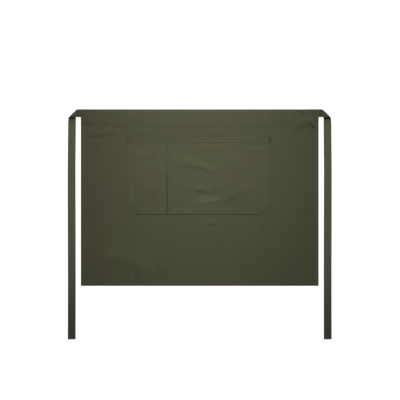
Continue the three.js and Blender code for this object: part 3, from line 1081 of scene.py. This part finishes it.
class APRON_OT_pocket(bpy.types.Operator):
    """Make the patch pocket, with its cut corners, hemmed mouth and divider seam"""

    bl_idname = "apron.pocket"
    bl_label = "Pocket"

    def execute(self, context):
        apron = context.scene.apron
        cloth, pocket, seams = apron.cloth, apron.pocket, apron.seams
        bm = flat_cloth(POCKET_WIDTH, POCKET_HEIGHT, POCKET_GRID)
        cut = Vector((pocket.corner_height, pocket.corner_width, 0)).normalized()
        corners = (
            ((pocket.corner_width, -POCKET_HEIGHT, 0), Vector((-cut.x, -cut.y, 0))),
            ((POCKET_WIDTH - pocket.corner_width, -POCKET_HEIGHT, 0), Vector((cut.x, -cut.y, 0))),
        )
        for corner, outwards in corners:
            score(bm, corner, outwards, cut_away=True)
        lines = hem_lines(seams.inner_row, pocket.turn)
        for line in lines:
            for corner, outwards in corners:
                score(bm, Vector(corner) - outwards * line, outwards)
        score_columns(bm, lines)
        score_columns(bm, [POCKET_WIDTH - line for line in lines])
        score_rows(bm, [POCKET_HEIGHT - line for line in lines])
        score_rows(bm, (EDGE_LINE, cloth.edge_run, seams.mouth_row, seams.hem_row, pocket.hem))
        row = seams.divider_row
        score_columns(bm, (pocket.divider - row, pocket.divider, pocket.divider + row))

        def lower(left, down):
            return pocket_point(left, down, pocket_lower(left, down))

        # Painted shade along the mouth, its rows, the divider and beside the inner row, a painted highlight
        # along the rim and its cut corners, and painted shade and highlights along the table's lines.
        def paint_wear_and_light(left, down):
            edge = from_pocket_edge(left, down)
            share = down / POCKET_HEIGHT
            low = smoothstep(share, *LOWER_HALF)
            mouth = wear_and_painted_light("mouth", down) * (0.5 + waves(left, *MOUTH_PATCHES))
            for row in (seams.mouth_row, seams.hem_row):
                mouth = mouth + wear_and_painted_light("mouth row", down - row)
            divider = DIVIDER_TOP_SHADE + (DIVIDER_LOW_SHADE - DIVIDER_TOP_SHADE) * low
            divider = divider * wear_and_painted_light("divider", left - pocket.divider)
            side = np.minimum(left, POCKET_WIDTH - left) / pocket.corner_width
            corner = 1 + CORNER_HIGHLIGHT * (1 - smoothstep(side, CORNER_SHARE, 1))
            rim = wear_and_painted_light("rim", edge - seams.outer_row) * smoothstep(share, *RIM_LOW) * corner
            inner = wear_and_painted_light("inner row", edge - seams.inner_row + ROW_SHADOW) * low
            lines = PAINTED_LINE_STRENGTH * fold_share(POCKET_PAINTED_LINES, POCKET_WIDTH, POCKET_HEIGHT, left, down)
            return rim - inner - mouth - divider - lines

        close_cloth(bm, lower, on_pocket, paint_wear_and_light)
        piece = finish_piece(bm, "pocket_cloth", twill("pocket_twill"))
        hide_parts("pocket")
        return {"FINISHED"}


class APRON_OT_ties(bpy.types.Operator):
    """Make both ties, each folded over at its corner"""

    bl_idname = "apron.ties"
    bl_label = "Ties"

    def execute(self, context):
        apron = context.scene.apron
        cloth, tie = apron.cloth, apron.tie
        _, half_turn, fold_out = tie_fold()
        fold_end = half_turn * math.sqrt(2)
        start = fold_out + tie.insert
        whole = start + tie_end()
        for side, name in ((-1, "left_tie"), (1, "right_tie")):
            bm = flat_cloth(whole, tie.width, TIE_GRID)
            bmesh.ops.translate(bm, vec=(-start, tie.width / 2, 0), verts=bm.verts)
            for line in (EDGE_LINE, cloth.edge_run, apron.seams.tie_row):
                score(bm, (0, tie.width / 2 - line, 0), (0, 1, 0))
                score(bm, (0, line - tie.width / 2, 0), (0, 1, 0))
            for step in range(FOLD_STEPS + 1):
                score(bm, (fold_end * step / FOLD_STEPS, 0, 0), (1, 1, 0))
            hem = tie_end() - tie.end_hem
            for along in (-fold_out, hem - TIE_HEM_RUN, hem, tie_end() - EDGE_LINE):
                score(bm, (along, 0, 0), (1, 0, 0))

            def lower(along, down, side=side):
                return tie_face(side, along, -down, True)

            def upper(along, down, side=side):
                return tie_face(side, along, -down, False)

            # Worn edges, painted shade on the stub and towards the end, and a painted shadow just below the
            # fold.
            def paint_wear_and_light(along, down):
                stub = 1 - smoothstep(along - down, 0, fold_end)
                shadow_below_fold = wear_and_painted_light("tie fold", along - fold_end - FOLD_SHADOW_DEPTH) * (1 - stub)
                shade_towards_end = END_SHADE * smoothstep(along, END_SHADE_FROM * TIE_DROP, TIE_DROP)
                edges = wear_and_painted_light("tie edge", tie.width / 2 - np.abs(down))
                return edges - STUB_SHADE * stub - shade_towards_end - shadow_below_fold

            close_cloth(bm, lower, upper, paint_wear_and_light)
            piece = finish_piece(bm, f"{name}_cloth", twill(f"{name}_twill"))
            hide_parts(name)
        return {"FINISHED"}


# Stitches


def add_stitch(bm, carrier, middle, forwards, upwards, reach):
    """A short bead of thread. It is made by itself and carried over, which keeps long rows quick."""
    seams = props().seams
    forwards = forwards.normalized()
    sideways = upwards.cross(forwards).normalized()
    upwards = forwards.cross(sideways)
    axes = Matrix((sideways * seams.thread, upwards * seams.thread * FLATNESS, forwards * reach)).transposed()
    bead = bmesh.new()
    bmesh.ops.create_uvsphere(
        bead, u_segments=6, v_segments=4, radius=0.5, matrix=Matrix.Translation(middle) @ axes.to_4x4()
    )
    bead.to_mesh(carrier)
    bead.free()
    bm.from_mesh(carrier)


def sew(bm, corners, surface):
    """Sews a row of stitches along straight stretches in plan, on the surface that surface(a, b) gives."""
    seams = props().seams
    carrier = bpy.data.meshes.new("bead")
    for first, last in zip(corners, corners[1:]):
        first, last = Vector(first), Vector(last)
        run = last - first
        count = max(1, round(run.length / seams.pitch))
        shares = (np.arange(count) + 0.5) / count
        reach = seams.stitch / run.length / 2
        across = Vector((-run.y, run.x)).normalized() * SLOPE_STEP
        a, b = first.x + run.x * shares, first.y + run.y * shares
        steps = ((0, 0), (run.x * reach, run.y * reach), (-run.x * reach, -run.y * reach), across)
        points = [np.stack(surface(a + right, b + down), axis=1) for right, down in steps]
        for middle, ahead, behind, beside in zip(*points):
            forwards = Vector(ahead - behind)
            upwards = forwards.cross(Vector(beside - middle)).normalized()
            if upwards.z < 0:
                upwards.negate()
            raised = Vector(middle) + upwards * seams.thread * STITCH_RISE
            add_stitch(bm, carrier, raised, forwards, upwards, seams.stitch)
    bpy.data.meshes.remove(carrier)


def bar_tack(bm, corners, surface):
    """Stitches packed side by side across straight stretches, where a pocket's corners need strength."""
    seams = props().seams
    carrier = bpy.data.meshes.new("bead")
    for first, last in zip(corners, corners[1:]):
        first, last = Vector(first), Vector(last)
        run = last - first
        across = Vector((-run.y, run.x)).normalized() * seams.tack / 2
        for step in range(round(run.length / seams.thread)):
            middle = first + run.normalized() * seams.thread * (step + 0.5)
            near_end = Vector(surface(*(middle - across)))
            far_end = Vector(surface(*(middle + across)))
            raised = Vector((0, 0, TACK_RISE * seams.thread))
            add_stitch(bm, carrier, (near_end + far_end) / 2 + raised, far_end - near_end, raised, seams.tack)
    bpy.data.meshes.remove(carrier)


def finish_threads(bm, name, thread):
    """Makes a piece of the stitches, shaded smoothly."""
    for face in bm.faces:
        face.smooth = True
    finish_piece(bm, name, thread)


def pocket_row(inset):
    """The corners of a row of stitches that runs round the pocket, in from its edge."""
    pocket = props().pocket
    width, height = pocket.corner_width, pocket.corner_height
    slant = 1 + inset * math.hypot(1 / width, 1 / height)
    down = POCKET_HEIGHT - height * (slant - inset / width)
    left = width * (slant - inset / height)
    bottom = POCKET_HEIGHT - inset
    return [
        (inset, ROW_TOP),
        (inset, down),
        (left, bottom),
        (POCKET_WIDTH - left, bottom),
        (POCKET_WIDTH - inset, down),
        (POCKET_WIDTH - inset, ROW_TOP),
    ]


class APRON_OT_stitches(bpy.types.Operator):
    """Sew the rows of stitches that show"""

    bl_idname = "apron.stitches"
    bl_label = "Stitches"

    def execute(self, context):
        apron = context.scene.apron
        seams, pocket, tie = apron.seams, apron.pocket, apron.tie
        thread = spun_thread()

        bm = bmesh.new()
        lefts = np.linspace(ROW_END, PANEL_WIDTH - ROW_END, BAND_ROW_CORNERS)
        sew(bm, list(zip(lefts, band_row(lefts))), on_panel)
        for left in (seams.side_row, PANEL_WIDTH - seams.side_row):
            sew(bm, [(left, ROW_END), (left, PANEL_HEIGHT - ROW_END)], on_panel)
        bottom = PANEL_HEIGHT - seams.bottom_row
        sew(bm, [(ROW_END, bottom), (PANEL_WIDTH - ROW_END, bottom)], on_panel)
        finish_threads(bm, "panel_stitches", thread)

        bm = bmesh.new()
        for inset in (seams.outer_row, seams.inner_row):
            sew(bm, pocket_row(inset), on_pocket)
        for down in (seams.mouth_row, seams.hem_row):
            sew(bm, [(seams.outer_row, down), (POCKET_WIDTH - seams.outer_row, down)], on_pocket)
        divider_top = pocket.hem + DIVIDER_START
        for left in (pocket.divider - seams.divider_row, pocket.divider + seams.divider_row):
            sew(bm, [(left, divider_top), (left, POCKET_HEIGHT - seams.outer_row)], on_pocket)
        half = seams.divider_row + ROW_GAP
        bar_tack(bm, [(pocket.divider - half, divider_top), (pocket.divider + half, divider_top)], on_pocket)
        bar_tack(bm, [(TACK_INSET, TACK_TOP), (TACK_INSET, pocket.hem)], on_pocket)
        pointed = [
            (POCKET_WIDTH - POINTED_TACK_WIDTH, POINTED_TACK_TOP),
            (POCKET_WIDTH - POINTED_TACK_TIP, pocket.hem),
            (POCKET_WIDTH - TACK_INSET, POINTED_TACK_TOP),
        ]
        bar_tack(bm, pointed, on_pocket)
        finish_threads(bm, "pocket_stitches", thread)

        bm = bmesh.new()
        _, half_turn, fold_out = tie_fold()
        fold_end = half_turn * math.sqrt(2)
        row = tie.width / 2 - seams.tie_row
        hem = tie_end() - tie.end_hem + ROW_END
        for side in (-1, 1):

            def on_tie(along, across, side=side):
                return tie_face(side, along, across, True)

            def on_stub(along, across, side=side):
                return tie_face(side, along, across, False)

            for across in (-row, row):
                hanging = fold_end - across + ROW_GAP
                sew(bm, [(hanging, across), (tie_end() - ROW_END, across)], on_tie)
                sew(bm, [(ROW_GAP - fold_out, across), (-across - ROW_GAP, across)], on_stub)
            sew(bm, [(hem, -row), (hem, row)], on_tie)
        finish_threads(bm, "tie_stitches", thread)
        return {"FINISHED"}


# Stage

# The photo's scale in metres a pixel, and where the panel's middle and top edge lie in it, in pixels.
PHOTO_SIDE = 400
PHOTO_PIXEL = 3.2394 * MM
PHOTO_PANEL_MIDDLE = 199.715
PHOTO_PANEL_TOP = 109.31

CAMERA_HEIGHT = 6.0
SENSOR_WIDTH = 36
FLOOR_REACH = 20.0
FLOOR_DROP = 0.1 * MM
WORLD_STRENGTH = 0.22
KEY_PLACE = (0, 2.98, 2.51)
KEY_AIM = (0, 0.28, 0)
KEY_SIZE = (0.5, 0.35)
KEY_POWER = 2.29
KEY_SPREAD = 22


def add_key_light():
    """A soft light from beyond the top of the picture, narrow enough to fade towards the hem."""
    data = bpy.data.lights.new("key", "AREA")
    data.shape = "RECTANGLE"
    data.size, data.size_y = KEY_SIZE
    data.energy = KEY_POWER
    data.spread = math.radians(KEY_SPREAD)
    light = bpy.data.objects.new("key", data)
    light.location = KEY_PLACE
    light.rotation_mode = "QUATERNION"
    light.rotation_quaternion = (Vector(KEY_AIM) - Vector(KEY_PLACE)).to_track_quat("-Z", "Y")
    light.visible_camera = False
    bpy.context.scene.collection.objects.link(light)


class APRON_OT_stage(bpy.types.Operator):
    """Set the pale floor, the soft studio light and the camera above the apron"""

    bl_idname = "apron.stage"
    bl_label = "Stage"

    def execute(self, context):
        scene = context.scene
        bm = bmesh.new()
        bmesh.ops.create_grid(bm, x_segments=1, y_segments=1, size=FLOOR_REACH)
        bmesh.ops.translate(bm, vec=(0, 0, -FLOOR_DROP), verts=bm.verts)
        paint, _, _ = new_material(
            "floor_paint",
            Base_Color=scene.apron.colours.floor,
            Roughness=0.9,
            Emission_Color=WHITE,
            Emission_Strength=1,
        )
        floor = make_object(bm, "floor", paint)

        world = bpy.data.worlds.new("studio")
        world.use_nodes = True
        background = world.node_tree.nodes["Background"]
        background.inputs["Color"].default_value = WHITE
        background.inputs["Strength"].default_value = WORLD_STRENGTH
        scene.world = world
        add_key_light()
        scene.view_settings.view_transform = "Standard"

        data = bpy.data.cameras.new("camera")
        data.sensor_width = SENSOR_WIDTH
        data.lens = SENSOR_WIDTH * CAMERA_HEIGHT / (PHOTO_SIDE * PHOTO_PIXEL)
        data.clip_end = 100
        camera = bpy.data.objects.new("camera", data)
        camera.location = (
            PANEL_MIDDLE + (PHOTO_SIDE / 2 - PHOTO_PANEL_MIDDLE) * PHOTO_PIXEL,
            PANEL_HIGH.y - (PHOTO_SIDE / 2 - PHOTO_PANEL_TOP) * PHOTO_PIXEL,
            CAMERA_HEIGHT,
        )
        scene.collection.objects.link(camera)
        scene.camera = camera
        return {"FINISHED"}


class ApronSettings(bpy.types.PropertyGroup):
    """Everything that can be set on the apron"""

    cloth: PointerProperty(type=ApronClothSizes)
    pocket: PointerProperty(type=ApronPocketSizes)
    tie: PointerProperty(type=ApronTieSizes)
    seams: PointerProperty(type=ApronSeamSizes)
    colours: PointerProperty(type=ApronColours)


OPERATORS = (
    APRON_OT_front_panel,
    APRON_OT_waistband,
    APRON_OT_pocket,
    APRON_OT_ties,
    APRON_OT_stitches,
    APRON_OT_stage,
)


class APRON_PT_sidebar(bpy.types.Panel):
    """Sizes, colours and pieces of the apron"""

    bl_idname = "APRON_PT_sidebar"
    bl_label = "Waist apron"
    bl_space_type = "VIEW_3D"
    bl_region_type = "UI"
    bl_category = "Apron"

    def draw(self, context):
        layout = self.layout
        for group in ApronSettings.__annotations__:
            settings = getattr(context.scene.apron, group)
            box = layout.box()
            box.label(text=group.capitalize())
            for name in settings.__annotations__:
                box.prop(settings, name)
        for operator in OPERATORS:
            layout.operator(operator.bl_idname)


CLASSES = (
    ApronClothSizes,
    ApronPocketSizes,
    ApronTieSizes,
    ApronSeamSizes,
    ApronColours,
    ApronSettings,
    *OPERATORS,
    APRON_PT_sidebar,
)


def register():
    for cls in CLASSES:
        bpy.utils.register_class(cls)
    bpy.types.Scene.apron = PointerProperty(type=ApronSettings)


def unregister():
    del bpy.types.Scene.apron
    for cls in reversed(CLASSES):
        bpy.utils.unregister_class(cls)


def main():
    """Makes every piece and the stage."""
    register()
    bpy.ops.apron.front_panel()
    bpy.ops.apron.waistband()
    bpy.ops.apron.pocket()
    bpy.ops.apron.ties()
    bpy.ops.apron.stitches()
    bpy.ops.apron.stage()


if __name__ == "__main__":
    main()
